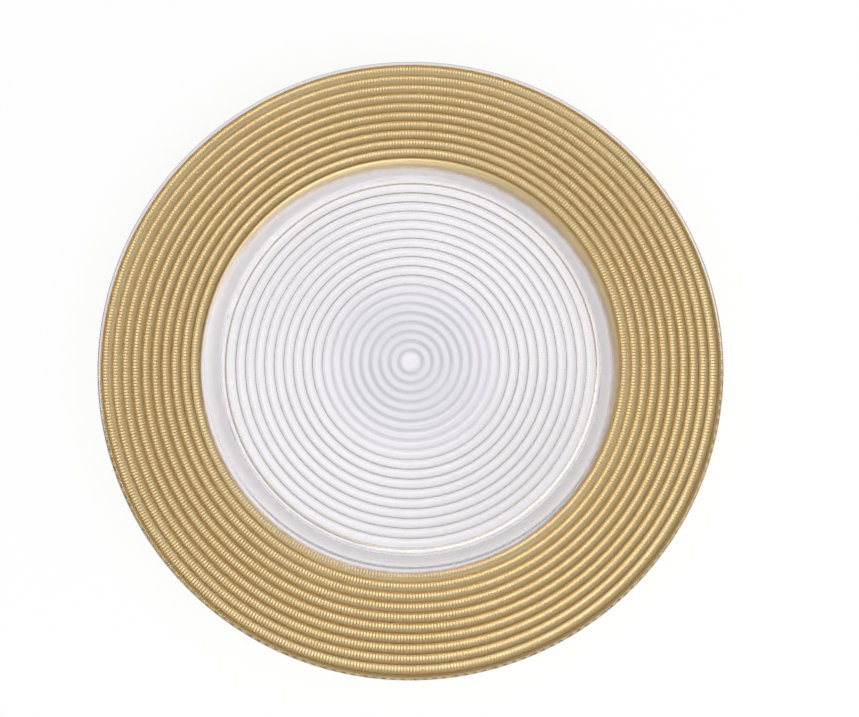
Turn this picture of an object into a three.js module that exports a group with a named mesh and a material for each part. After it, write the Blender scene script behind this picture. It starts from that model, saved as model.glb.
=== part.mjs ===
// Round charger plate of pressed clear glass, with a gold film and its protective coat on the back of the rim.
// Millimetres, +Z up. The origin is the middle of the plate, on the surface that its foot ring stands on.

import * as THREE from 'three';

// Ribs: round beads pressed into the underside of the well and of the rim, concentric with the plate.
// Those round the button are shallow, and from the last shallow rib to the first deep one they grow evenly
const ribPitch = 5.15;
const middleRibHeight = 0.45;
const wellRibHeight = 1.2;
const lastShallowRib = 3;
const firstDeepRib = 9;
const rimRibHeight = 0.9;
const wellRibCount = 18;
const rimRibCount = 10;

// Plain button in the middle of the well
const buttonRadius = 6.4;
const buttonFlatRadius = 4.0;

// Foot ring round the well: the only part of the plate that touches the table
const footDepth = 2.0;
const footWallRun = 1.7;
const footFlatWidth = 0.8;

// Well and cove. The upper cove begins outside the well's last rib and ends inside the rim's first one
const wellThickness = 4.2;
const coveWidth = 12.2;
const coveTopStart = 1.4;
const coveTopEnd = 0.5;
const coveTopBend = 4.0;
const coveUnderBend = 1.5;

// Rim
const rimLift = 10.0;
const rimRise = 3.0;
const rimThickness = 3.6;
const lipWidth = 2.3;

// Layers behind the rim: the gold begins on the cove, and its coat at the rim's second rib
const goldReach = 2.3;
const goldLipAngle = THREE.MathUtils.degToRad(15);
const goldThickness = 0.1;
const backCoatThickness = 0.1;

// Facets: round the plate, across one rib, along one bend of the cove and along each stretch of the lip
const turnFacets = 48;
const ribFacets = 3;
const bendFacets = 3;
const lipFacets = 2;

// Radii and heights that follow from the sizes above
const wellEdgeRadius = buttonRadius + wellRibCount * ribPitch;
const footInnerRadius = wellEdgeRadius + footWallRun;
const footOuterRadius = footInnerRadius + footFlatWidth;
const rimInnerRadius = wellEdgeRadius + coveWidth;
const lipValleyRadius = rimInnerRadius + rimRibCount * ribPitch;
const plateRadius = lipValleyRadius + lipWidth;
const lipRadius = rimThickness / 2;
const lipCentreRadius = plateRadius - lipRadius;
const wellTop = footDepth + wellThickness;
const goldInnerRadius = rimInnerRadius - goldReach;
const coatInnerRadius = rimInnerRadius + ribPitch;

function wellRibHeightOf(rib) {
  const growth = THREE.MathUtils.clamp((rib - lastShallowRib) / (firstDeepRib - lastShallowRib), 0, 1);
  return THREE.MathUtils.lerp(middleRibHeight, wellRibHeight, growth);
}

const rimRibHeightOf = () => rimRibHeight;

const wellValley = () => footDepth + wellRibHeight;

function rimCrest(radius) {
  const share = (radius - rimInnerRadius) / (plateRadius - rimInnerRadius);
  return footDepth + rimLift + rimRise * share;
}

const rimValley = (radius) => rimCrest(radius) + rimRibHeight;

const rimTop = (radius) => rimCrest(radius) + rimThickness;

// Profile points are (radius, height)
const point = (radius, height) => new THREE.Vector2(radius, height);

// Points of one arc, from one angle to another, both ends included
function arc(centre, radius, fromAngle, toAngle, facets) {
  const points = [];
  for (let i = 0; i <= facets; i += 1) {
    const angle = fromAngle + ((toAngle - fromAngle) * i) / facets;
    points.push(point(centre.x + radius * Math.cos(angle), centre.y + radius * Math.sin(angle)));
  }
  return points;
}

// A row of round beads that hang below a line of valleys. valleyAt gives the height of that line by radius
function ribs(innerRadius, count, ribHeightOf, valleyAt) {
  const halfPitch = ribPitch / 2;
  const points = [];
  for (let i = 0; i <= count * ribFacets; i += 1) {
    const rib = Math.min(Math.floor(i / ribFacets), count - 1);
    const ribHeight = ribHeightOf(rib);
    const beadRadius = (halfPitch ** 2 + ribHeight ** 2) / (2 * ribHeight);
    const fromInner = (i * ribPitch) / ribFacets;
    const across = fromInner - (rib + 0.5) * ribPitch;
    const rise = beadRadius - Math.sqrt(beadRadius ** 2 - across ** 2);
    points.push(point(innerRadius + fromInner, valleyAt(innerRadius + fromInner) - ribHeight + rise));
  }
  return points;
}

// An S-shaped climb that leaves one level point and arrives level at another: bend, straight wall, bend
function climb(from, to, bend) {
  const run = to.x - from.x;
  const rise = to.y - from.y - 2 * bend;
  const slope = Math.atan2(rise, run) + Math.asin((2 * bend) / Math.hypot(run, rise));
  const down = -Math.PI / 2;
  const up = Math.PI / 2;
  const lower = arc(point(from.x, from.y + bend), bend, down, down + slope, bendFacets);
  const upper = arc(point(to.x, to.y - bend), bend, up + slope, up, bendFacets);
  return [...lower, ...upper];
}

// The part of a profile that lies outside a radius, starting with a new point on the profile there
function outside(points, radius) {
  const next = points.findIndex((p) => p.x > radius);
  const before = points[next - 1];
  const after = points[next];
  const share = (radius - before.x) / (after.x - before.x);
  return [before.clone().lerp(after, share), ...points.slice(next)];
}

// The same line moved square to itself, to its right-hand side, with its corners kept sharp
function offset(points, distance) {
  const normals = [];
  for (let i = 1; i < points.length; i += 1) {
    const along = points[i].clone().sub(points[i - 1]).normalize();
    normals.push(point(along.y, -along.x));
  }
  return points.map((p, i) => {
    const before = normals[Math.max(i - 1, 0)];
    const after = normals[Math.min(i, normals.length - 1)];
    const corner = before.clone().add(after).normalize();
    return p.clone().addScaledVector(corner, distance / corner.dot(before));
  });
}

// Underside of the glass, from the axis out to the end of the gold on the lip
const lipCentre = point(lipCentreRadius, rimCrest(lipCentreRadius) + lipRadius);
const buttonHeight = wellValley() - middleRibHeight;
const underButton = [point(0, buttonHeight), point(buttonFlatRadius, buttonHeight)];
const underWell = ribs(buttonRadius, wellRibCount, wellRibHeightOf, wellValley);
const underFoot = [point(footInnerRadius, 0)];
const underRim = ribs(rimInnerRadius, rimRibCount, rimRibHeightOf, rimValley);
const underCove = climb(point(footOuterRadius, 0), underRim[0], coveUnderBend);
const goldLip = arc(lipCentre, lipRadius, -Math.PI / 2, -Math.PI / 2 + goldLipAngle, lipFacets);
const goldSide = [...underCove, ...underRim.slice(1), ...goldLip];
const underside = [...underButton, ...underWell, ...underFoot, ...goldSide];

// Bare lip and smooth upper side, from the end of the gold back to the axis
const bareLip = arc(lipCentre, lipRadius, -Math.PI / 2 + goldLipAngle, Math.PI / 2, 2 * lipFacets);
const coveTopInner = point(wellEdgeRadius + coveTopStart, wellTop);
const coveTopOuterRadius = rimInnerRadius - coveTopEnd;
const coveTop = climb(coveTopInner, point(coveTopOuterRadius, rimTop(coveTopOuterRadius)), coveTopBend);
const upperSide = [...bareLip.slice(1), ...coveTop.reverse(), point(0, wellTop)];

// Layers on the back of the rim: each lies on the one before it
const goldFace = outside(goldSide, goldInnerRadius);
const goldBack = offset(goldFace, goldThickness);
const coatFace = outside(goldBack, coatInnerRadius);
const coatBack = offset(coatFace, backCoatThickness);

// A closed ring between two lines, the outer line of the two listed last
const layer = (face, back) => [...back, ...face.slice().reverse(), back[0].clone()];

// Materials
const clearGlass = new THREE.MeshStandardMaterial({
  color: 0xe8e8f2,
  roughness: 0.05,
  metalness: 0.0,
  transparent: true,
  opacity: 0.35,
});
const brightGold = new THREE.MeshStandardMaterial({ color: 0xc9a455, roughness: 0.22, metalness: 1.0 });
const satinGoldPaint = new THREE.MeshStandardMaterial({ color: 0xa88645, roughness: 0.5, metalness: 0.3 });

const plate = new THREE.Group();

// Turns a profile about the Z axis and adds it to the plate as one named piece
function addTurned(name, profile, material) {
  const geometry = new THREE.LatheGeometry(profile, turnFacets);
  geometry.rotateX(Math.PI / 2);
  const piece = new THREE.Mesh(geometry, material);
  piece.name = name;
  plate.add(piece);
}

addTurned('glass_plate', [...underside, ...upperSide], clearGlass);
addTurned('gold_film', layer(goldFace, goldBack), brightGold);
addTurned('back_coat', layer(coatFace, coatBack), satinGoldPaint);

export default plate;
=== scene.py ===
"""Glass charger plate with a gold-backed rim: its fine meshes, its finishes and a plain stage.

Laid out as an add-on and run as a script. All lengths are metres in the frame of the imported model.
"""

import math

import bpy
import numpy as np
from bpy.props import FloatProperty, FloatVectorProperty, IntProperty, PointerProperty
from bpy.types import Operator, Panel, PropertyGroup
from mathutils import Matrix, Vector


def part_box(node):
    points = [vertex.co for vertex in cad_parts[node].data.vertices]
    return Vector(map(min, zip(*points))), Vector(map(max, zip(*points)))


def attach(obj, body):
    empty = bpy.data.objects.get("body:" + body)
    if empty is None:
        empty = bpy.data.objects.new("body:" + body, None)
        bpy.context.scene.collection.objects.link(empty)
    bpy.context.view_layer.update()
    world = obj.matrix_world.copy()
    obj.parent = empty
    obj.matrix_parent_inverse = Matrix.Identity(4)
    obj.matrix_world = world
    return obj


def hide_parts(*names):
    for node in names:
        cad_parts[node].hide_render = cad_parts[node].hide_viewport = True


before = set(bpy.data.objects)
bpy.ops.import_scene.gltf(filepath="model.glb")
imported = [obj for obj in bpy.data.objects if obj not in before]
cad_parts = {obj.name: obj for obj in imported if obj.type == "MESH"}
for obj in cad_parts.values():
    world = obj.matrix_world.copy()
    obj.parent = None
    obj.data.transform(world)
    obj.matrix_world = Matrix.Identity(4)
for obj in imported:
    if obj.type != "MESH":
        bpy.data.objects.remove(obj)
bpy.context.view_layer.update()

bl_info = {
    "name": "Gold-Rimmed Glass Charger",
    "version": (1, 0, 0),
    "blender": (4, 5, 0),
    "location": "View3D > Sidebar > Charger",
    "description": "Pressed glass charger plate with serrated ribs and a gold-backed rim",
    "category": "Object",
}

PLATE_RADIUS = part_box("glass_plate")[1].x

# Camera: its picture's width in pixels, its sensor's width in millimetres and the nearest distance it sees
PICTURE_WIDTH = 859
SENSOR_WIDTH = 36.0
NEAREST_SEEN = 0.01

# Mirror reflections in a row that a ray may take, enough for light that is caught in the foot ring
GLOSSY_BOUNCES = 12

# Points round a smooth ring, a hidden one and the button
SMOOTH_COLUMNS = 384
HIDDEN_COLUMNS = 200
BUTTON_COLUMNS = 96

# Rows along each stretch of the profile
WELL_RIB_ROWS = 8
RIM_RIB_ROWS = 6
BUTTON_ROWS = 8
FOOT_ROWS = 8
BEND_ROWS = 8
UNDER_BEND_ROWS = 6
LIP_ROWS = 5

# How far one layer reaches into the next, so that no gap shows between them
BOND = 0.00003

# Share of the fine cuts' depth that is lost in the valleys between ribs, and how late it is lost
VALLEY_LOSS = 0.8
VALLEY_POWER = 6

# Angles up the round lip: from the gold to the bare cuts, to the end of the cuts and to the smooth part
LIP_STEP = 0.02
LIP_CUTS_END = math.radians(100)
LIP_SMOOTH_START = math.radians(110)

# Shares of the cuts' depth at both ends of the lip's gold part, and of its bare cuts
GOLD_LIP_SHARES = (0.5, 1.0)
BARE_LIP_SHARES = (0.5, 0.0)

# Empty margin round the plate on its map, as a share of its radius
MAP_MARGIN = 0.05

# The floor lies a hair below the foot ring, so that the two faces don't coincide
FLOOR_GAP = 0.0001

# Noise in the finishes: features to a metre, and levels of finer detail
GLASS_WAVES = (70.0, 2.0)
GLASS_SMEARS = (35.0, 4.0)
GOLD_CLOUDS = (120.0, 4.0)
GOLD_EDGE = (120.0, 2.0)
GOLD_GRAIN = (4000.0, 2.0)
PAINT_CLOUDS = (60.0, 5.0)
PAINT_PEEL = (900.0, 2.0)

# Heights of the noise that stands out of a surface
WAVE_HEIGHT = 0.00002
GRAIN_HEIGHT = 0.00001
PEEL_HEIGHT = 0.00003

# How far the edges of the glass's painted shades and of the gold wander
TINT_WANDER = 0.002
GOLD_WANDER = 0.0008

# Optical density of the glass
GLASS_IOR = 1.5

# Painted shade round the button, a grey that stands in for light and shade there: the blur of its inner
# edge, and the radius and blur of its outer one
BUTTON_BLUR = 0.001
MIDDLE_SHADE_END = (0.035, 0.04)

# Painted shade in the cove, a grey that stands in for the shade its refraction gives: how far it begins
# outside the foot and ends inside the rim, and the blur of both edges
COVE_SHADE_START = 0.0004
COVE_SHADE_START_BLUR = 0.0006
COVE_SHADE_END = 0.004
COVE_SHADE_END_BLUR = 0.004

# Painted shade between the well's ribs, a grey that stands in for the shade their refraction gives: middle
# and width of its step on the wave across the ribs
WELL_VALLEY_SHADE = (0.2, 1.5)

# Where it ends inside the edge of the well, the share of it that fades out, and the radius and blur of that
WELL_VALLEY_END = 0.001
WELL_VALLEY_BLUR = 0.0006
WELL_VALLEY_LOSS = 0.5
WELL_VALLEY_FADE = (0.042, 0.03)

# How far below the top of the well the painted shade of the underside ends
UNDERSIDE_DEPTH = 0.0015
UNDERSIDE_BLUR = 0.001

# Painted shade on the gold between the rim's ribs: middle and width of its step on the wave across the ribs
RIM_VALLEY_SHADE = (0.62, 0.76)

# The plate's axis, as a point seen from above
AXIS = (0.0, 0.0)


def length(name, description, default):
    """A length in metres for the sidebar."""
    return FloatProperty(
        name=name, description=description, default=default, min=0.0, precision=5, unit="LENGTH"
    )


def angle(name, description, default):
    """An angle for the sidebar, given in degrees."""
    return FloatProperty(name=name, description=description, default=math.radians(default), subtype="ANGLE")


def count(name, description, default, least=1):
    """A number of things for the sidebar."""
    return IntProperty(name=name, description=description, default=default, min=least)


def share(name, description, default):
    """A share from 0 to 1 for the sidebar."""
    return FloatProperty(
        name=name, description=description, default=default, min=0.0, max=1.0, precision=3, subtype="FACTOR"
    )


def colour(name, description, default):
    """A colour for the sidebar."""
    return FloatVectorProperty(
        name=name, description=description, default=default, size=3, min=0.0, max=1.0, subtype="COLOR"
    )


class ChargerSizes(PropertyGroup):
    """Sizes of the plate that a user would change."""

    rib_pitch: length("Rib pitch", "Distance from one rib to the next along a radius", 0.00515)
    middle_rib_height: length("Middle rib height", "Height of the shallow ribs round the button", 0.00045)
    well_rib_height: length("Well rib height", "Height of the ribs towards the edge of the well", 0.0012)
    rim_rib_height: length("Rim rib height", "Height of the ribs under the rim", 0.0009)
    well_ribs: count("Well ribs", "Ribs under the clear well", 18)
    last_shallow: count("Last shallow rib", "From here the well's ribs grow", 3, 0)
    first_deep: count("First deep rib", "From here they are at their full height", 9)
    rim_ribs: count("Rim ribs", "Ribs under the gold rim", 10)
    serration_pitch: length("Serration pitch", "Distance from one fine cut across a rib to the next", 0.0016)
    serration_depth: length("Serration depth", "Depth of the fine cuts across each rib", 0.00015)
    button_radius: length("Button radius", "Radius of the plain button in the middle of the well", 0.0064)
    button_flat: length("Button flat", "Radius of the flat part of the button", 0.004)
    foot_depth: length("Foot depth", "How far the foot ring stands below the ribs", 0.002)
    foot_wall: length("Foot wall", "Width of the foot ring's inner slope", 0.0017)
    foot_flat: length("Foot flat", "Width of the face that the plate stands on", 0.0008)
    well_thickness: length("Well thickness", "Glass above the crests of the well's ribs", 0.0042)
    cove_width: length("Cove width", "Smooth band between the well's ribs and the rim's ribs", 0.0122)
    cove_start: length("Cove start", "How far outside the well's last rib the upper cove begins", 0.0014)
    cove_end: length("Cove end", "How far inside the rim's first rib the upper cove ends", 0.0005)
    cove_bend: length("Cove bend", "Radius of the upper cove's two bends", 0.004)
    cove_under_bend: length("Cove underside bend", "Radius of the bends below the cove", 0.0015)
    rim_lift: length("Rim lift", "Height of the rim's ribs above the well's ribs", 0.010)
    rim_rise: length("Rim rise", "How far the rim climbs towards its edge", 0.003)
    rim_thickness: length("Rim thickness", "Glass above the crests of the rim's ribs", 0.0036)
    layer_thickness: length("Layer thickness", "Thickness of the gold film, and of its coat", 0.0001)
    mask_radius: length("Mask radius", "Radius of the round mask that kept the gold off the well", 0.1103)
    mask_offset: FloatVectorProperty(
        name="Mask offset",
        description="Where the mask lay off the plate's axis",
        default=(-0.0012, -0.0020),
        size=2,
        precision=5,
        unit="LENGTH",
    )
    mask_blur: length("Mask blur", "Width over which the gold fades out at the edge of the mask", 0.0032)
    gold_lip: angle("Gold on the lip", "How far the gold goes up the round lip", 15)


class ChargerFinishes(PropertyGroup):
    """Colours and roughness of the plate's finishes."""

    glass: colour("Glass", "Faint tint of the clear glass", (0.985, 0.968, 1.0))
    # Painted shade: the grey round the button stands in for light and shade, not for a tint of the glass
    glass_middle_shade: colour("Middle glass", "Tint of the glass round the button", (0.91, 0.905, 0.95))
    # Painted shade: the cove's grey stands in for light bent away there, and is far darker than thick glass
    # would be
    glass_cove_shade: colour("Thick glass", "Tint of the thick glass in the cove", (0.785, 0.77, 0.80))
    # Painted shade: the grey between the well's ribs stands in for the shade that the ribs' refraction gives
    glass_valley_shade: colour("Valley glass", "Tint of the glass between the well's ribs", (0.50, 0.495, 0.545))
    glass_smear: share("Glass smears", "Roughness of the glass where it is smeared most", 0.012)
    gold: colour("Gold", "Colour of the gold film", (0.815, 0.668, 0.375))
    gold_deep: colour("Deep gold", "Colour of the gold film where it is thicker", (0.757, 0.606, 0.303))
    # Painted shade: the darker gold between the ribs stands in for shade in the valleys
    gold_valley_shade: colour("Valley gold", "Colour of the gold film between the ribs", (0.61, 0.465, 0.22))
    gold_thin: colour("Thin gold", "Colour of the gold film where it fades out", (0.62, 0.44, 0.34))
    gold_roughness: share("Gold roughness", "Roughness of the gold film outside its clouds", 0.325)
    gold_clouding: share("Gold clouding", "How much rougher the gold film is in its clouds", 0.12)
    paint: colour("Back paint", "Colour of the coat behind the gold", (0.52, 0.37, 0.15))
    paint_worn: colour("Thin back paint", "Colour of that coat where it is thin", (0.62, 0.46, 0.21))
    paint_metal: share("Back paint metal", "How metallic that coat looks", 0.7)
    paint_roughness: share("Back paint roughness", "Roughness of that coat where it is thick", 0.34)
    paint_clouding: share("Back paint clouding", "How much rougher it is where it is thin", 0.2)


class ChargerStage(PropertyGroup):
    """Camera, lamp, light tent and floor."""

    camera_distance: length("Camera distance", "Distance from the camera to the plate", 0.6374)
    camera_tilt: angle("Camera tilt", "Angle of the view from straight down", 9.2)
    camera_right: length("Camera right", "Sideways place of the camera", 0.01)
    camera_up: length("Camera up", "Place of the camera towards the top of the picture", 0.0025)
    focal_pixels: FloatProperty(
        name="Focal length",
        description="Focal length in pixels of the picture",
        default=1176.0,
        subtype="PIXEL",
    )
    floor: colour("Floor", "Colour of the floor", (0.98, 0.98, 0.98))
    floor_half: length("Floor reach", "Distance from the plate to the sides of the floor", 30.0)
    floor_glow: share("Floor glow", "Share of the floor's white that no shadow dims", 0.9)
    under_glow: share("Glow in glass", "The same share as seen in glass and metal", 0.59)
    zenith: colour("Zenith", "Light of the tent from straight above", (0.42, 0.42, 0.42))
    horizon: colour("Horizon", "Light of the tent from its sides", (0.85, 0.85, 0.85))
    box_azimuth: angle("Softbox azimuth", "Direction of the softbox, anticlockwise from the right", 310)
    box_elevation: angle("Softbox elevation", "Height of the softbox above the floor, as an angle", 45)
    box_distance: length("Softbox distance", "Distance from the softbox to the plate", 1.6)
    box_width: length("Softbox width", "Width of the softbox", 3.0)
    box_height: length("Softbox height", "Height of the softbox", 1.2)
    box_brightness: FloatProperty(
        name="Softbox brightness", description="What a mirror would show of it", default=2.25, min=0.0
    )


class Shape:
    """Radii and heights of the pressed plate, worked out from its sizes."""

    def __init__(self, sizes):
        self.sizes = sizes
        self.half_pitch = sizes.rib_pitch / 2
        self.well_edge = sizes.button_radius + sizes.well_ribs * sizes.rib_pitch
        self.foot_inner = self.well_edge + sizes.foot_wall
        self.foot_outer = self.foot_inner + sizes.foot_flat
        self.rim_inner = self.well_edge + sizes.cove_width
        self.lip_radius = sizes.rim_thickness / 2
        self.lip_centre = PLATE_RADIUS - self.lip_radius
        self.well_top = sizes.foot_depth + sizes.well_thickness

    def well_valley(self, radius):
        """Height of the valleys between the ribs under the well, the same at every radius."""
        return self.sizes.foot_depth + self.sizes.well_rib_height

    def well_growth(self, rib):
        """How far a rib of the well is from the shallow ones (0) to the deep ones (1)."""
        first, last = self.sizes.last_shallow, self.sizes.first_deep
        return min(max((rib - first) / (last - first), 0.0), 1.0)

    def rim_valley(self, radius):
        """Height of the valleys between the ribs under the rim."""
        return self.rim_crest(radius) + self.sizes.rim_rib_height

    def rim_crest(self, radius):
        """Height of the rib crests under the rim."""
        climbed = (radius - self.rim_inner) / (PLATE_RADIUS - self.rim_inner)
        return self.sizes.foot_depth + self.sizes.rim_lift + self.sizes.rim_rise * climbed

    def rim_top(self, radius):
        """Height of the smooth upper side of the rim."""
        return self.rim_crest(radius) + self.sizes.rim_thickness

    def bead_rise(self, across, rib_height):
        """Height of a round bead above its crest, at a distance from its middle."""
        bead_radius = (self.half_pitch**2 + rib_height**2) / (2 * rib_height)
        return bead_radius - np.sqrt(bead_radius**2 - across**2)

    def cove_under(self):
        """Underside of the cove, from the foot ring to the rim's first valley."""
        valley = self.rim_valley(self.rim_inner)
        start = (self.foot_outer, 0.0)
        return climb(start, (self.rim_inner, valley), self.sizes.cove_under_bend, UNDER_BEND_ROWS)

    def cove_top(self):
        """Upper side of the cove, from the flat of the well to the rim."""
        outer = self.rim_inner - self.sizes.cove_end
        inner = self.well_edge + self.sizes.cove_start
        return climb((inner, self.well_top), (outer, self.rim_top(outer)), self.sizes.cove_bend, BEND_ROWS)

    def lip(self, first, last):
        """(radius, height, slope) along the lip between two angles: 0 is its lowest point, pi its top."""
        middle = self.rim_crest(self.lip_centre) + self.lip_radius
        for turn in np.linspace(first, last, LIP_ROWS):
            out = self.lip_radius * math.sin(turn)
            down = self.lip_radius * math.cos(turn)
            yield self.lip_centre + out, middle - down, turn


def climb(start, end, bend, rows):
    """An S-shaped climb between two level points, as (radius, height, slope): bend, straight wall, bend."""
    run = end[0] - start[0]
    rise = end[1] - start[1] - 2 * bend
    steepest = math.atan2(rise, run) + math.asin(2 * bend / math.hypot(run, rise))
    slopes = np.linspace(0.0, steepest, rows)
    lower = [(start[0] + bend * math.sin(s), start[1] + bend * (1 - math.cos(s)), s) for s in slopes]
    upper = [(end[0] - bend * math.sin(s), end[1] - bend * (1 - math.cos(s)), s) for s in slopes[::-1]]
    return lower + upper


class Skin:
    """A closed skin of rings about the Z axis, walked along its profile. Rings may differ in points."""

    def __init__(self):
        self.points = []
        self.faces = []
        self.creases = []
        self.total = 0
        self.first = None
        self.last = None

    def add(self, points):
        """Adds points and returns their numbers."""
        self.points.append(points)
        numbers = np.arange(self.total, self.total + len(points))
        self.total += len(points)
        return numbers

    def ring(self, radius, height, columns=SMOOTH_COLUMNS):
        """Adds a ring and joins it to the one before. Arrays give a radius or height for each column."""
        angles = 2 * math.pi * np.arange(columns) / columns
        heights = height * np.ones(columns)
        ring = self.add(np.column_stack([radius * np.cos(angles), radius * np.sin(angles), heights]))
        if self.last is None:
            self.first = ring
        else:
            self.join(self.last, ring)
        self.last = ring
        return ring

    def join(self, near, far):
        """Faces between two rings: quads where their points match, otherwise a zip of triangles."""
        if len(near) == len(far):
            quads = np.column_stack([near, np.roll(near, -1), np.roll(far, -1), far])
            self.faces.extend(quads.tolist())
            return
        i = j = 0
        while i < len(near) or j < len(far):
            a, b = int(near[i % len(near)]), int(far[j % len(far)])
            if (i + 1) * len(far) <= (j + 1) * len(near):
                i += 1
                self.faces.append([a, int(near[i % len(near)]), b])
            else:
                j += 1
                self.faces.append([a, int(far[j % len(far)]), b])

    def start(self, height, radius, columns):
        """Starts at a point on the axis, with a fan out to a first ring."""
        centre = self.add_centre(height)
        ring = self.ring(radius, height, columns)
        self.faces.extend([centre, int(b), int(a)] for a, b in zip(ring, np.roll(ring, -1)))

    def end(self, height):
        """Ends at a point on the axis."""
        centre = self.add_centre(height)
        ring = self.last
        self.faces.extend([centre, int(a), int(b)] for a, b in zip(ring, np.roll(ring, -1)))

    def add_centre(self, height):
        """Adds a point on the axis and returns its number."""
        return int(self.add(np.array([[0.0, 0.0, height]]))[0])

    def close(self):
        """Joins the last ring to the first."""
        self.join(self.last, self.first)

    def crease(self, near, far):
        """Keeps the edges between two rings of matching points sharp."""
        self.creases.append(np.column_stack([near, far]))

    def crease_ring(self, ring):
        """Keeps the edges along a ring sharp."""
        self.crease(ring, np.roll(ring, -1))

    def piece(self, name):
        """The skin as a new object in the scene."""
        mesh = bpy.data.meshes.new(name)
        mesh.from_pydata(np.concatenate(self.points).tolist(), [], self.faces)
        mesh.shade_smooth()
        self.mark_creases(mesh)
        self.lay_out(mesh)
        piece = bpy.data.objects.new(name, mesh)
        bpy.context.scene.collection.objects.link(piece)
        return piece

    def mark_creases(self, mesh):
        """Marks the kept edges as sharp."""
        pairs = np.empty(len(mesh.edges) * 2, np.int64)
        mesh.edges.foreach_get("vertices", pairs)
        keys = edge_keys(pairs.reshape(-1, 2), self.total)
        sharp = np.isin(keys, edge_keys(np.concatenate(self.creases), self.total))
        mesh.attributes.new("sharp_edge", "BOOLEAN", "EDGE").data.foreach_set("value", sharp)

    def lay_out(self, mesh):
        """A map in two halves: the upper faces beside the lower ones, each as seen along the axis."""
        corners = np.empty(len(mesh.loops), np.int64)
        mesh.loops.foreach_get("vertex_index", corners)
        points = np.concatenate(self.points)[corners]
        corner_counts = np.array([len(face) for face in self.faces])
        normals = np.empty(len(mesh.polygons) * 3)
        mesh.polygons.foreach_get("normal", normals)
        lower = np.repeat(normals.reshape(-1, 3)[:, 2] < 0, corner_counts)
        reach = 2 * (1 + MAP_MARGIN) * PLATE_RADIUS
        across = (0.5 + points[:, 0] / reach + lower) / 2
        along = 0.5 + points[:, 1] / reach
        layer = mesh.uv_layers.new(name="OFBake")
        layer.data.foreach_set("uv", np.column_stack([across, along]).astype(np.float32).ravel())


def edge_keys(pairs, total):
    """One number for each edge, whichever way round its ends are listed."""
    return pairs.min(axis=1) * total + pairs.max(axis=1)


class Strip:
    """A stretch of the underside: rows of (radius, height, slope, share of the fine cuts' depth)."""

    def __init__(self, shape, middle, rows):
        self.rows = list(rows)
        self.depth = shape.sizes.serration_depth
        self.has_cuts = any(depth_share > 0 for *row, depth_share in self.rows)
        cuts = round(2 * math.pi * middle / shape.sizes.serration_pitch)
        self.columns = 2 * cuts if self.has_cuts else max(cuts, BUTTON_COLUMNS)

    def walk(self, skin, drop, turns, columns, outward):
        """Adds the rows as rings, moved out of the glass by drop and, as far as they have cuts, by turns."""
        rings = []
        for radius, height, slope, depth_share in self.rows if outward else reversed(self.rows):
            out = drop + depth_share * turns
            rings.append(skin.ring(radius + out * math.sin(slope), height - out * math.cos(slope), columns))
        return rings

    def serrated(self, skin, drop=0.0, outward=True):
        """Adds the strip with its fine cuts. Its columns are ridges and cuts in turn, all creased."""
        turns = np.where(np.arange(self.columns) % 2, 0.5, -0.5) * self.depth
        rings = self.walk(skin, drop, turns, self.columns, outward)
        if self.has_cuts:
            for near, far in zip(rings, rings[1:]):
                skin.crease(near, far)
        skin.crease_ring(rings[0])
        skin.crease_ring(rings[-1])

    def plain(self, skin, drop=0.0, outward=True):
        """Adds the strip without cuts, just outside of the ridges."""
        self.walk(skin, drop, self.depth / 2, HIDDEN_COLUMNS, outward)


def rib_strip(shape, inner, rib_height, valley, rows, cuts=1.0):
    """One rib outside a valley. Its rows are closer towards the valleys, and the cuts fade out there."""
    across = np.sin(np.linspace(-math.pi / 2, math.pi / 2, rows)) * (shape.half_pitch - BOND)
    shares = cuts * (1.0 - VALLEY_LOSS * (across / shape.half_pitch) ** VALLEY_POWER)
    middle = inner + shape.half_pitch
    radii = middle + across
    heights = valley(radii) - rib_height + shape.bead_rise(across, rib_height)
    return Strip(shape, middle, zip(radii, heights, np.zeros(rows), shares))


def well_strips(shape):
    """The ribs under the well: shallow and smooth round the button, deep and cut towards the edge."""
    sizes = shape.sizes
    for rib in range(sizes.well_ribs):
        inner = sizes.button_radius + rib * sizes.rib_pitch
        growth = shape.well_growth(rib)
        rib_height = sizes.middle_rib_height + growth * (sizes.well_rib_height - sizes.middle_rib_height)
        yield rib_strip(shape, inner, rib_height, shape.well_valley, WELL_RIB_ROWS, growth)


def rim_strips(shape):
    """The ribs under the rim."""
    sizes = shape.sizes
    for rib in range(sizes.rim_ribs):
        inner = shape.rim_inner + rib * sizes.rib_pitch
        yield rib_strip(shape, inner, sizes.rim_rib_height, shape.rim_valley, RIM_RIB_ROWS)


def cove_strip(shape, start=0.0):
    """The smooth underside of the cove outside a radius."""
    line = shape.cove_under()[:-1]
    steepest = max(slope for radius, height, slope in line)
    rows = [(radius, height, slope, 0.0) for radius, height, slope in line if radius > start]
    if start > line[0][0]:
        radii, heights, slopes = zip(*line)
        rows.insert(0, (start, float(np.interp(start, radii, heights)), steepest, 0.0))
    return Strip(shape, shape.rim_inner, rows)


def lip_strip(shape, first, last, shares):
    """A stretch of the round lip. Its cuts go from one share of their depth to another."""
    rows = zip(shape.lip(first, last), np.linspace(*shares, LIP_ROWS))
    return Strip(shape, PLATE_RADIUS, [(*row, depth_share) for row, depth_share in rows])


def gold_lip_strip(shape):
    """The part of the lip that the gold covers."""
    return lip_strip(shape, 0.0, shape.sizes.gold_lip, GOLD_LIP_SHARES)


def add_button(skin, shape):
    """Adds the plain button in the middle of the underside."""
    sizes = shape.sizes
    height = shape.well_valley(0.0) - sizes.middle_rib_height
    skin.start(height, sizes.button_flat, BUTTON_COLUMNS)
    for climbed in np.linspace(0.0, 1.0, BUTTON_ROWS)[1:-1]:
        radius = sizes.button_flat + climbed * (sizes.button_radius - sizes.button_flat)
        skin.ring(radius, height + sizes.middle_rib_height * climbed**2, BUTTON_COLUMNS)


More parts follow.
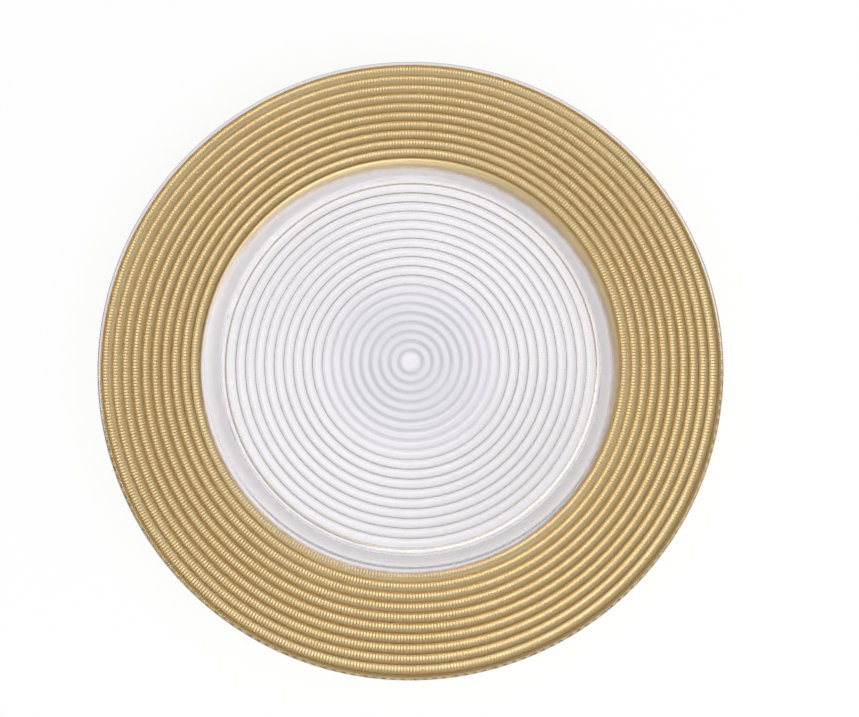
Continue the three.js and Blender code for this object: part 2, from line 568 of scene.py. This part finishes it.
def add_foot(skin, shape):
    """Adds the inner slope of the foot ring: one smooth S from the last valley down to the foot's flat."""
    top = shape.well_valley(shape.well_edge)
    for descended in np.linspace(0.0, 1.0, FOOT_ROWS)[1:]:
        height = top * (1 + math.cos(math.pi * descended)) / 2
        skin.ring(shape.well_edge + descended * shape.sizes.foot_wall, height)


def glass_skin(shape):
    """Skin of the pressed glass, from the middle of its underside round the lip to the middle of its top."""
    skin = Skin()
    add_button(skin, shape)
    for strip in well_strips(shape):
        strip.serrated(skin)
    add_foot(skin, shape)
    cove_strip(shape).serrated(skin)
    first_rib, *gold_ribs = rim_strips(shape)
    first_rib.serrated(skin)
    for strip in gold_ribs:
        strip.plain(skin, BOND)
    gold_lip_strip(shape).plain(skin, BOND)
    lip_strip(shape, shape.sizes.gold_lip + LIP_STEP, LIP_CUTS_END, BARE_LIP_SHARES).serrated(skin)
    for radius, height, slope in shape.lip(LIP_SMOOTH_START, math.pi):
        skin.ring(radius, height)
    for radius, height, slope in reversed(shape.cove_top()):
        skin.ring(radius, height)
    skin.end(shape.well_top)
    return skin


def film_strips(shape):
    """The underside behind the gold film, from inside the edge of the mask up the lip."""
    offset = math.hypot(*shape.sizes.mask_offset)
    start = shape.sizes.mask_radius - offset - shape.sizes.mask_blur
    return [cove_strip(shape, start), *rim_strips(shape), gold_lip_strip(shape)]


def film_skin(shape):
    """Skin of the gold film: a plain back, and a face with the cuts of the glass in front of it."""
    skin = Skin()
    strips = film_strips(shape)
    for strip in strips:
        strip.plain(skin, shape.sizes.layer_thickness)
    for strip in reversed(strips):
        strip.serrated(skin, -BOND, False)
    skin.close()
    return skin


def coat_skin(shape):
    """Skin of the back coat, from the rim's second rib: a plain face, and a back that shows the cuts."""
    skin = Skin()
    cove, first_rib, *strips = film_strips(shape)
    thickness = shape.sizes.layer_thickness
    for strip in strips:
        strip.serrated(skin, 2 * thickness + shape.sizes.serration_depth)
    for strip in reversed(strips):
        strip.plain(skin, thickness - BOND, False)
    skin.close()
    return skin


class Value:
    """An output socket, so that maths on it reads as Python."""

    def __init__(self, shader, socket):
        self.shader = shader
        self.socket = socket

    def math(self, operation, *values):
        """A maths node on one value or two."""
        return self.shader.node("ShaderNodeMath", {"operation": operation}, dict(enumerate(values)))

    def larger(self, other):
        """The larger of two values."""
        return self.math("MAXIMUM", self, other)

    def cosine(self):
        """The cosine of an angle."""
        return self.math("COSINE", self)

    def __add__(self, other):
        return self.math("ADD", self, other)

    def __radd__(self, other):
        return self.math("ADD", other, self)

    def __sub__(self, other):
        return self.math("SUBTRACT", self, other)

    def __rsub__(self, other):
        return self.math("SUBTRACT", other, self)

    def __mul__(self, other):
        return self.math("MULTIPLY", self, other)

    def __rmul__(self, other):
        return self.math("MULTIPLY", other, self)


class Shader:
    """The node tree of a material or world."""

    def __init__(self, owner):
        owner.use_nodes = True
        self.tree = owner.node_tree
        self.tree.nodes.clear()

    def node(self, kind, settings=None, sockets=None, output=0):
        """Adds a node: its settings first, then the values or links of its sockets."""
        node = self.tree.nodes.new(kind)
        for name, value in (settings or {}).items():
            setattr(node, name, value)
        for name, value in (sockets or {}).items():
            if isinstance(value, Value):
                self.tree.links.new(value.socket, node.inputs[name])
            else:
                node.inputs[name].default_value = value
        return Value(self, node.outputs[output]) if node.outputs else None

    def noise(self, scale, detail):
        """Noise over the object, with about scale features to a metre."""
        spot = self.node("ShaderNodeTexCoord", output="Object")
        sockets = {"Vector": spot, "Scale": scale, "Detail": detail}
        return self.node("ShaderNodeTexNoise", None, sockets, "Fac")

    def mix(self, factor, first, second):
        """A mix of two colours, written or linked. The node takes them at 6 and 7 and gives the mix at 2."""
        first, second = (c if isinstance(c, Value) else (*c, 1.0) for c in (first, second))
        sockets = {"Factor": factor, 6: first, 7: second}
        return self.node("ShaderNodeMix", {"data_type": "RGBA"}, sockets, 2)

    def distance(self, centre):
        """Distance from a line that runs along Z through a point."""
        spot = self.node("ShaderNodeTexCoord", output="Object")
        sockets = {0: spot, 1: (1.0, 1.0, 0.0), 2: (-centre[0], -centre[1], 0.0)}
        flat = self.node("ShaderNodeVectorMath", {"operation": "MULTIPLY_ADD"}, sockets)
        return self.node("ShaderNodeVectorMath", {"operation": "LENGTH"}, {0: flat}, "Value")

    def height(self, kind):
        """Z of a place on an object (Object), or of a direction of the world (Generated)."""
        spot = self.node("ShaderNodeTexCoord", output=kind)
        return self.node("ShaderNodeSeparateXYZ", None, {0: spot}, "Z")

    def ramp(self, value, middle, width):
        """A smooth step from 0 to 1 about a middle value."""
        sockets = {"Value": value, "From Min": middle - width / 2, "From Max": middle + width / 2}
        return self.node("ShaderNodeMapRange", {"interpolation_type": "SMOOTHSTEP"}, sockets)

    def rib_wave(self, inner, pitch):
        """A wave across the ribs outside an inner radius: 1 in the valleys and -1 on the crests."""
        turn = (self.distance(AXIS) - inner) * (2 * math.pi / pitch)
        return turn.cosine()

    def bump(self, height, distance):
        """A surface normal from a height."""
        return self.node("ShaderNodeBump", None, {"Height": height, "Distance": distance})

    def seen(self, straight, by_way):
        """One value for the camera's rays, another by way of metal or glass, and zero for all other rays."""
        camera, glossy, through = (
            self.node("ShaderNodeLightPath", output=name)
            for name in ("Is Camera Ray", "Is Glossy Ray", "Is Transmission Ray")
        )
        either = glossy.larger(through)
        return (straight * camera).larger(by_way * either)

    def finish(self, kind, surface):
        """Sends a shader to the output."""
        self.node(kind, None, {"Surface": surface})


def well_valley_shade(shader, shape):
    """Painted shade on the underside between the well's ribs, standing in for the shade that their
    refraction gives. It is greyest round the button.
    """
    sizes = shape.sizes
    radius = shader.distance(AXIS)
    valleys = shader.ramp(shader.rib_wave(sizes.button_radius, sizes.rib_pitch), *WELL_VALLEY_SHADE)
    outside_button = shader.ramp(radius, sizes.button_flat, BUTTON_BLUR)
    beyond_well = shader.ramp(radius, shape.well_edge - WELL_VALLEY_END, WELL_VALLEY_BLUR)
    above = shader.ramp(shader.height("Object"), shape.well_top - UNDERSIDE_DEPTH, UNDERSIDE_BLUR)
    strength = 1.0 - WELL_VALLEY_LOSS * shader.ramp(radius, *WELL_VALLEY_FADE)
    return valleys * strength * (outside_button - beyond_well) * (1.0 - above)


def clear_glass(finishes, shape):
    """Clear pressed glass with soft waves and a lavender tint, and painted shade round the button, in the
    cove and between its ribs.
    """
    material = bpy.data.materials.new("clear_glass")
    shader = Shader(material)
    waves = shader.noise(*GLASS_WAVES)
    smears = shader.noise(*GLASS_SMEARS)
    radius = shader.distance(AXIS) + TINT_WANDER * (waves - 0.5)
    # Mask of the painted shade round the button
    middle = shader.ramp(radius, shape.sizes.button_flat, BUTTON_BLUR) - shader.ramp(radius, *MIDDLE_SHADE_END)
    # Mask of the painted shade in the cove
    cove_shade_start = shader.ramp(radius, shape.foot_outer + COVE_SHADE_START, COVE_SHADE_START_BLUR)
    cove_shade_end = shader.ramp(radius, shape.rim_inner - COVE_SHADE_END, COVE_SHADE_END_BLUR)
    flat = shader.mix(middle, finishes.glass, finishes.glass_middle_shade)
    ribbed = shader.mix(well_valley_shade(shader, shape), flat, finishes.glass_valley_shade)
    surface = shader.node(
        "ShaderNodeBsdfPrincipled",
        None,
        {
            "Base Color": shader.mix(cove_shade_start - cove_shade_end, ribbed, finishes.glass_cove_shade),
            "Roughness": finishes.glass_smear * smears,
            "IOR": GLASS_IOR,
            "Transmission Weight": 1.0,
            "Normal": shader.bump(waves, WAVE_HEIGHT),
        },
    )
    shader.finish("ShaderNodeOutputMaterial", surface)
    return material


def bright_gold(finishes, shape):
    """Bright gold film with a fine grain, darker in clouds, with painted shade between its ribs. It fades
    out at its mask.
    """
    material = bpy.data.materials.new("bright_gold")
    shader = Shader(material)
    sizes = shape.sizes
    clouds = shader.noise(*GOLD_CLOUDS)
    grain = shader.noise(*GOLD_GRAIN)
    wander = GOLD_WANDER * (shader.noise(*GOLD_EDGE) - 0.5)
    cover = shader.ramp(shader.distance(sizes.mask_offset) + wander, sizes.mask_radius, sizes.mask_blur)
    # Painted shade in the valleys between the rim's ribs
    valleys = shader.ramp(shader.rib_wave(shape.rim_inner, sizes.rib_pitch), *RIM_VALLEY_SHADE)
    crests = shader.mix(clouds, finishes.gold, finishes.gold_deep)
    full = shader.mix(valleys, crests, finishes.gold_valley_shade)
    surface = shader.node(
        "ShaderNodeBsdfPrincipled",
        None,
        {
            "Base Color": shader.mix(cover, finishes.gold_thin, full),
            "Metallic": 1.0,
            "Roughness": finishes.gold_roughness + finishes.gold_clouding * clouds,
            "Alpha": cover,
            "Normal": shader.bump(grain, GRAIN_HEIGHT),
        },
    )
    shader.finish("ShaderNodeOutputMaterial", surface)
    return material


def gold_back_paint(finishes):
    """Satin gold paint with a slight orange peel, thinner in places."""
    material = bpy.data.materials.new("gold_back_paint")
    shader = Shader(material)
    clouds = shader.noise(*PAINT_CLOUDS)
    peel = shader.noise(*PAINT_PEEL)
    surface = shader.node(
        "ShaderNodeBsdfPrincipled",
        None,
        {
            "Base Color": shader.mix(clouds, finishes.paint, finishes.paint_worn),
            "Metallic": finishes.paint_metal,
            "Roughness": finishes.paint_roughness + finishes.paint_clouding * clouds,
            "Normal": shader.bump(peel, PEEL_HEIGHT),
        },
    )
    shader.finish("ShaderNodeOutputMaterial", surface)
    return material


def place(piece, material, node):
    """Dresses a piece, sets it on the plate's body and lets it stand for its node."""
    piece.data.materials.append(material)
    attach(piece, "root")
    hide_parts(node)


class CHARGER_OT_glass(Operator):
    """Make the pressed glass plate with its serrated ribs"""

    bl_idname = "charger.glass"
    bl_label = "Glass plate"

    def execute(self, context):
        scene = context.scene
        shape = Shape(scene.charger_sizes)
        piece = glass_skin(shape).piece("pressed_glass")
        place(piece, clear_glass(scene.charger_finishes, shape), "glass_plate")
        return {"FINISHED"}


class CHARGER_OT_gold(Operator):
    """Make the gold film behind the rim"""

    bl_idname = "charger.gold"
    bl_label = "Gold film"

    def execute(self, context):
        scene = context.scene
        shape = Shape(scene.charger_sizes)
        piece = film_skin(shape).piece("gold_leaf_film")
        place(piece, bright_gold(scene.charger_finishes, shape), "gold_film")
        return {"FINISHED"}


class CHARGER_OT_coat(Operator):
    """Make the protective coat behind the gold film"""

    bl_idname = "charger.coat"
    bl_label = "Back coat"

    def execute(self, context):
        scene = context.scene
        piece = coat_skin(Shape(scene.charger_sizes)).piece("back_paint_coat")
        place(piece, gold_back_paint(scene.charger_finishes), "back_coat")
        return {"FINISHED"}


def add_camera(stage):
    """The camera, looking almost straight down at the plate."""
    tilt = stage.camera_tilt
    right = Vector((1.0, 0.0, 0.0))
    up = Vector((0.0, math.cos(tilt), math.sin(tilt)))
    back = Vector((0.0, -math.sin(tilt), math.cos(tilt)))
    data = bpy.data.cameras.new("camera")
    data.sensor_width = SENSOR_WIDTH
    data.lens = SENSOR_WIDTH * stage.focal_pixels / PICTURE_WIDTH
    data.clip_start = NEAREST_SEEN
    camera = bpy.data.objects.new("camera", data)
    turn = Matrix((right, up, back)).transposed().to_4x4()
    spot = stage.camera_right * right + stage.camera_up * up + stage.camera_distance * back
    camera.matrix_world = Matrix.Translation(spot) @ turn
    bpy.context.scene.collection.objects.link(camera)
    bpy.context.scene.camera = camera


def add_softbox(stage):
    """A wide softbox that faces the plate. Its power gives it the brightness that a mirror would show."""
    data = bpy.data.lights.new("softbox", "AREA")
    data.shape = "RECTANGLE"
    data.size = stage.box_width
    data.size_y = stage.box_height
    data.energy = stage.box_brightness * stage.box_width * stage.box_height * math.pi
    lamp = bpy.data.objects.new("softbox", data)
    level = math.cos(stage.box_elevation)
    right = level * math.cos(stage.box_azimuth)
    back = level * math.sin(stage.box_azimuth)
    lamp.location = stage.box_distance * Vector((right, back, math.sin(stage.box_elevation)))
    lamp.rotation_euler = lamp.location.to_track_quat("Z", "Y").to_euler()
    bpy.context.scene.collection.objects.link(lamp)


def add_tent(stage):
    """A light tent round the stage, brighter at its sides than above."""
    world = bpy.data.worlds.new("world")
    shader = Shader(world)
    tent = shader.mix(shader.height("Generated"), stage.horizon, stage.zenith)
    shader.finish("ShaderNodeOutputWorld", shader.node("ShaderNodeBackground", None, {"Color": tent}))
    bpy.context.scene.world = world


def floor_white(stage):
    """White that shows a faint shadow."""
    material = bpy.data.materials.new("floor")
    shader = Shader(material)
    glow = shader.seen(stage.floor_glow, stage.under_glow)
    lit = shader.node("ShaderNodeBsdfDiffuse", None, {"Color": (*stage.floor, 1.0)})
    white = shader.node("ShaderNodeEmission", None, {"Color": (1.0, 1.0, 1.0, 1.0)})
    surface = shader.node("ShaderNodeMixShader", None, {0: glow, 1: lit, 2: white})
    shader.finish("ShaderNodeOutputMaterial", surface)
    return material


def add_floor(stage):
    """A wide pale floor under the foot ring."""
    half = stage.floor_half
    mesh = bpy.data.meshes.new("floor")
    corners = [(-half, -half, 0.0), (half, -half, 0.0), (half, half, 0.0), (-half, half, 0.0)]
    mesh.from_pydata(corners, [], [(0, 1, 2, 3)])
    mesh.materials.append(floor_white(stage))
    floor = bpy.data.objects.new("floor", mesh)
    floor.location.z = -FLOOR_GAP
    bpy.context.scene.collection.objects.link(floor)


class CHARGER_OT_stage(Operator):
    """Set up the camera, the softbox, the light tent and the floor"""

    bl_idname = "charger.stage"
    bl_label = "Stage"

    def execute(self, context):
        stage = context.scene.charger_stage
        add_camera(stage)
        add_floor(stage)
        add_softbox(stage)
        add_tent(stage)
        context.scene.view_settings.view_transform = "Standard"
        context.scene.cycles.blur_glossy = 0.0
        context.scene.cycles.glossy_bounces = GLOSSY_BOUNCES
        return {"FINISHED"}


class CHARGER_PT_panel(Panel):
    """Sidebar panel with the plate's sizes, finishes, stage and operators"""

    bl_idname = "CHARGER_PT_panel"
    bl_label = "Charger"
    bl_space_type = "VIEW_3D"
    bl_region_type = "UI"
    bl_category = "Charger"

    def draw(self, context):
        for name in GROUPS:
            group = getattr(context.scene, name)
            box = self.layout.box()
            for setting in group.__annotations__:
                box.prop(group, setting)
        for operator in OPERATORS:
            self.layout.operator(operator.bl_idname)


OPERATORS = (CHARGER_OT_stage, CHARGER_OT_glass, CHARGER_OT_gold, CHARGER_OT_coat)
GROUPS = {"charger_sizes": ChargerSizes, "charger_finishes": ChargerFinishes, "charger_stage": ChargerStage}
CLASSES = (*GROUPS.values(), *OPERATORS, CHARGER_PT_panel)


def register():
    """Adds the classes and the scene's settings to Blender."""
    for item in CLASSES:
        bpy.utils.register_class(item)
    for name, group in GROUPS.items():
        setattr(bpy.types.Scene, name, PointerProperty(type=group))


def unregister():
    """Takes them away again."""
    for name in GROUPS:
        delattr(bpy.types.Scene, name)
    for item in reversed(CLASSES):
        bpy.utils.unregister_class(item)


def main():
    """Makes the stage and the pieces."""
    register()
    bpy.ops.charger.stage()
    bpy.ops.charger.glass()
    bpy.ops.charger.gold()
    bpy.ops.charger.coat()


if __name__ == "__main__":
    main()
